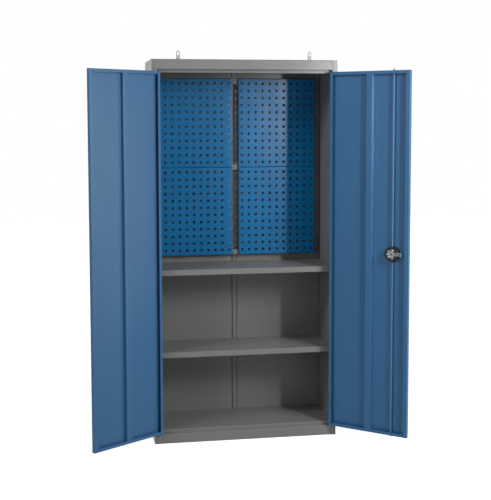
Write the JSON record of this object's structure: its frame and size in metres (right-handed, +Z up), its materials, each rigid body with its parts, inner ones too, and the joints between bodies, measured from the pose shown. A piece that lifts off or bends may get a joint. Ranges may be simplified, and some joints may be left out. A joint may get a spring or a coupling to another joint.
{
  "type": "tool cabinet",
  "caption": "Tall steel tool cabinet with swinging doors, square-hole tool panels above, shelves below and a turning lock handle that throws rods into the frame.",
  "frame": {"origin": "middle of the cabinet's footprint on the floor, doors left out", "axes": "+Z up, +Y from the doors to the back, +X to the right as seen from the front"},
  "size_m": [1.5708, 0.6873, 1.995],
  "materials": {
    "carcass_paint": "satin grey powder coat on folded sheet steel",
    "door_paint": "satin mid blue powder coat on folded sheet steel",
    "panel_paint": "satin bright blue powder coat on perforated sheet steel",
    "zinc": "bright zinc-plated steel",
    "lock_black": "matt black moulded plastic",
    "bush_nylon": "dark nylon"
  },
  "bodies": {
    "root": {"side_panel_left": "carcass_paint", "side_panel_right": "carcass_paint", "back_tray_left": "carcass_paint", "back_tray_right": "carcass_paint", "back_strip": "carcass_paint", "roof_panel": "carcass_paint", "lintel": "carcass_paint", "door_stop_strip": "carcass_paint", "base_deck": "carcass_paint", "plinth_front": "carcass_paint", "plinth_rear": "carcass_paint", "shelf_middle": "carcass_paint", "shelf_upper": "carcass_paint", "panel_rail_top": "carcass_paint", "panel_rail_middle": "carcass_paint", "panel_rail_bottom": "carcass_paint", "panel_rail_bolts": "carcass_paint", "shelf_clips_middle": "zinc", "shelf_clips_upper": "zinc", "eyelet_left": "zinc", "eyelet_right": "zinc", "eyelet_bolts": "zinc", "eyelet_nuts": "zinc", "post_hinge_leaves_left": "zinc", "post_hinge_leaves_right": "zinc", "hinge_pins_left": "zinc", "hinge_pins_right": "zinc", "hinge_washers_left": "zinc", "hinge_washers_right": "zinc", "peg_panel_upper_left": "panel_paint", "peg_panel_upper_right": "panel_paint", "peg_panel_lower_left": "panel_paint", "peg_panel_lower_right": "panel_paint"},
    "left_door": {"door_left": "door_paint", "door_stiffener_left": "door_paint", "door_hinge_leaves_left": "door_paint"},
    "right_door": {"door_right": "door_paint", "door_stiffener_right": "door_paint", "door_hinge_leaves_right": "door_paint", "lock_outer_plate": "lock_black", "lock_housing": "lock_black", "rod_bushes": "bush_nylon"},
    "lock_cam_body": {"lock_handle": "lock_black", "lock_spindle": "zinc", "lock_driver": "zinc", "lock_cam": "zinc", "lock_cam_nut": "zinc"},
    "key_plug_body": {"key_plug": "zinc"},
    "upper_rod_body": {"upper_rod": "zinc", "upper_rod_fork": "zinc"},
    "lower_rod_body": {"lower_rod": "zinc", "lower_rod_fork": "zinc"}
  },
  "joints": [
    {"name": "left_door_hinge", "type": "hinge", "parent": "root", "child": "left_door", "pos_m": [-0.445, -0.185, 0.975], "axis": [0, 0, -1], "range_deg": [-143.75, 31.25]},
    {"name": "right_door_hinge", "type": "hinge", "parent": "root", "child": "right_door", "pos_m": [0.445, -0.185, 0.975], "axis": [0, 0, 1], "range_deg": [-136.9, 38.1]},
    {"name": "lock_turn", "type": "hinge", "parent": "right_door", "child": "lock_cam_body", "pos_m": [0.70275, -0.4262, 0.98], "axis": [-0.6833, -0.7302, 0], "range_deg": [0, 90]},
    {"name": "key_turn", "type": "hinge", "parent": "lock_cam_body", "child": "key_plug_body", "pos_m": [0.70275, -0.4262, 0.98], "axis": [-0.6833, -0.7302, 0], "range_deg": [0, 90]},
    {"name": "upper_rod_slide", "type": "slide", "parent": "right_door", "child": "upper_rod_body", "axis": [0, 0, 1], "range_m": [0, 0.0161]},
    {"name": "lower_rod_slide", "type": "slide", "parent": "right_door", "child": "lower_rod_body", "axis": [0, 0, -1], "range_m": [0, 0.0161]}
  ],
  "couplings": [
    {"joint": "upper_rod_slide", "follows": "lock_turn", "m_per_rad": 0.010186},
    {"joint": "lower_rod_slide", "follows": "lock_turn", "m_per_rad": 0.010186}
  ]
}
